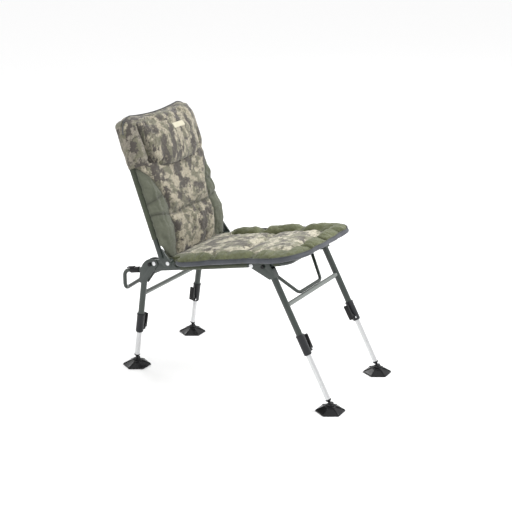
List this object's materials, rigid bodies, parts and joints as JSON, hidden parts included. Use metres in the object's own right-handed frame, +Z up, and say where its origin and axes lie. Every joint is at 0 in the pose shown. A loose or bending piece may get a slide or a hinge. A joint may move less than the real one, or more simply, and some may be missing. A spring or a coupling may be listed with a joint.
{
  "type": "folding fishing chair",
  "caption": "Low folding fishing chair with padded seat and backrest, folding leg frames, telescopic cam-clamped legs and swivelling hexagonal feet.",
  "frame": {"origin": "on the floor, under the middle of the chair's outline", "axes": "+Z up, -Y the way the sitter faces, +X to the sitter's left"},
  "size_m": [0.472, 0.8962, 0.8971],
  "materials": {
    "frame_paint": "satin dark grey-green enamel",
    "crossbar_paint": "satin grey enamel",
    "leg_aluminium": "bright drawn",
    "zinc": "zinc plated",
    "black_plastic": "moulded, fine grain",
    "clamp_plastic": "moulded, satin",
    "olive_fabric": "coated woven polyester",
    "sling_fabric": "heavy woven polyester",
    "camouflage_fabric": "brushed printed polyester over foam"
  },
  "bodies": {
    "seat": {"seat_frame": "frame_paint", "rear_spreader": "frame_paint", "rail_sleeve_left": "black_plastic", "rail_sleeve_right": "black_plastic", "hinge_channel_left": "frame_paint", "hinge_channel_right": "frame_paint", "seat_sling": "sling_fabric", "seat_cushion": "camouflage_fabric"},
    "backrest": {"back_tube": "frame_paint", "back_gusset_left": "frame_paint", "back_gusset_right": "frame_paint", "back_rivet_left": "zinc", "back_rivet_right": "zinc", "back_sling": "sling_fabric", "back_cushion": "camouflage_fabric", "back_hood": "camouflage_fabric", "head_pillow": "camouflage_fabric"},
    "rear_legs": {"rear_crossbar": "crossbar_paint", "rear_bracket_left": "frame_paint", "rear_leg_tube_left": "frame_paint", "rear_pivot_rivet_left": "zinc", "rear_clamp_left": "clamp_plastic", "rear_bracket_right": "frame_paint", "rear_leg_tube_right": "frame_paint", "rear_pivot_rivet_right": "zinc", "rear_clamp_right": "clamp_plastic"},
    "front_legs": {"front_crossbar": "crossbar_paint", "front_brace": "frame_paint", "front_bracket_left": "frame_paint", "front_leg_tube_left": "frame_paint", "front_pivot_rivet_left": "zinc", "front_clamp_left": "clamp_plastic", "front_bracket_right": "frame_paint", "front_leg_tube_right": "frame_paint", "front_pivot_rivet_right": "zinc", "front_clamp_right": "clamp_plastic"},
    "rear_inner_leg_left": {"rear_inner_tube_left": "leg_aluminium", "rear_ankle_plug_left": "black_plastic"},
    "rear_foot_left": {"rear_foot_left": "black_plastic"},
    "rear_lever_left": {"rear_clamp_lever_left": "black_plastic"},
    "rear_button_left": {"rear_lock_button_left": "black_plastic"},
    "rear_inner_leg_right": {"rear_inner_tube_right": "leg_aluminium", "rear_ankle_plug_right": "black_plastic"},
    "rear_foot_right": {"rear_foot_right": "black_plastic"},
    "rear_lever_right": {"rear_clamp_lever_right": "black_plastic"},
    "rear_button_right": {"rear_lock_button_right": "black_plastic"},
    "front_inner_leg_left": {"front_inner_tube_left": "leg_aluminium", "front_ankle_plug_left": "black_plastic"},
    "front_foot_left": {"front_foot_left": "black_plastic"},
    "front_lever_left": {"front_clamp_lever_left": "black_plastic"},
    "front_button_left": {"front_lock_button_left": "black_plastic"},
    "front_inner_leg_right": {"front_inner_tube_right": "leg_aluminium", "front_ankle_plug_right": "black_plastic"},
    "front_foot_right": {"front_foot_right": "black_plastic"},
    "front_lever_right": {"front_clamp_lever_right": "black_plastic"},
    "front_button_right": {"front_lock_button_right": "black_plastic"}
  },
  "joints": [
    {"name": "backrest_fold", "type": "hinge", "parent": "seat", "child": "backrest", "pos_m": [0, 0.22454, 0.4148], "axis": [1, 0, 0], "range_deg": [0, 60]},
    {"name": "rear_leg_fold", "type": "hinge", "parent": "seat", "child": "rear_legs", "pos_m": [0, 0.28174, 0.405], "axis": [1, 0, 0], "range_deg": [-100, 0]},
    {"name": "front_leg_fold", "type": "hinge", "parent": "seat", "child": "front_legs", "pos_m": [0, -0.10853, 0.46336], "axis": [1, 0, 0], "range_deg": [0, 84]},
    {"name": "rear_leg_slide_left", "type": "slide", "parent": "rear_legs", "child": "rear_inner_leg_left", "axis": [0, 0.1392, -0.9903], "range_m": [-0.085, 0.08]},
    {"name": "rear_foot_tilt_left", "type": "hinge", "parent": "rear_inner_leg_left", "child": "rear_foot_left", "pos_m": [0.185, 0.37695, 0.025], "axis": [1, 0, 0], "range_deg": [-20, 20]},
    {"name": "rear_lever_flip_left", "type": "hinge", "parent": "rear_legs", "child": "rear_lever_left", "pos_m": [0.1654, 0.36004, 0.14537], "axis": [0, -0.9903, -0.1392], "range_deg": [0, 100]},
    {"name": "rear_button_press_left", "type": "slide", "parent": "rear_legs", "child": "rear_button_left", "axis": [-1, 0, 0], "range_m": [0, 0.0024], "stiffness_N_per_m": 300},
    {"name": "rear_leg_slide_right", "type": "slide", "parent": "rear_legs", "child": "rear_inner_leg_right", "axis": [0, 0.1392, -0.9903], "range_m": [-0.085, 0.08]},
    {"name": "rear_foot_tilt_right", "type": "hinge", "parent": "rear_inner_leg_right", "child": "rear_foot_right", "pos_m": [-0.185, 0.37695, 0.025], "axis": [1, 0, 0], "range_deg": [-20, 20]},
    {"name": "rear_lever_flip_right", "type": "hinge", "parent": "rear_legs", "child": "rear_lever_right", "pos_m": [-0.1654, 0.36004, 0.14537], "axis": [0, 0.9903, 0.1392], "range_deg": [0, 100]},
    {"name": "rear_button_press_right", "type": "slide", "parent": "rear_legs", "child": "rear_button_right", "axis": [1, 0, 0], "range_m": [0, 0.0024], "stiffness_N_per_m": 300},
    {"name": "front_leg_slide_left", "type": "slide", "parent": "front_legs", "child": "front_inner_leg_left", "axis": [0, 0.4695, 0.8829], "range_m": [-0.085, 0.155]},
    {"name": "front_foot_tilt_left", "type": "hinge", "parent": "front_inner_leg_left", "child": "front_foot_left", "pos_m": [0.185, -0.4039, 0.025], "axis": [1, 0, 0], "range_deg": [-20, 20]},
    {"name": "front_lever_flip_left", "type": "hinge", "parent": "front_legs", "child": "front_lever_left", "pos_m": [0.1654, -0.31296, 0.19604], "axis": [0, -0.8829, 0.4695], "range_deg": [0, 100]},
    {"name": "front_button_press_left", "type": "slide", "parent": "front_legs", "child": "front_button_left", "axis": [-1, 0, 0], "range_m": [0, 0.0024], "stiffness_N_per_m": 300},
    {"name": "front_leg_slide_right", "type": "slide", "parent": "front_legs", "child": "front_inner_leg_right", "axis": [0, 0.4695, 0.8829], "range_m": [-0.085, 0.155]},
    {"name": "front_foot_tilt_right", "type": "hinge", "parent": "front_inner_leg_right", "child": "front_foot_right", "pos_m": [-0.185, -0.4039, 0.025], "axis": [1, 0, 0], "range_deg": [-20, 20]},
    {"name": "front_lever_flip_right", "type": "hinge", "parent": "front_legs", "child": "front_lever_right", "pos_m": [-0.1654, -0.31296, 0.19604], "axis": [0, 0.8829, -0.4695], "range_deg": [0, 100]},
    {"name": "front_button_press_right", "type": "slide", "parent": "front_legs", "child": "front_button_right", "axis": [1, 0, 0], "range_m": [0, 0.0024], "stiffness_N_per_m": 300}
  ]
}
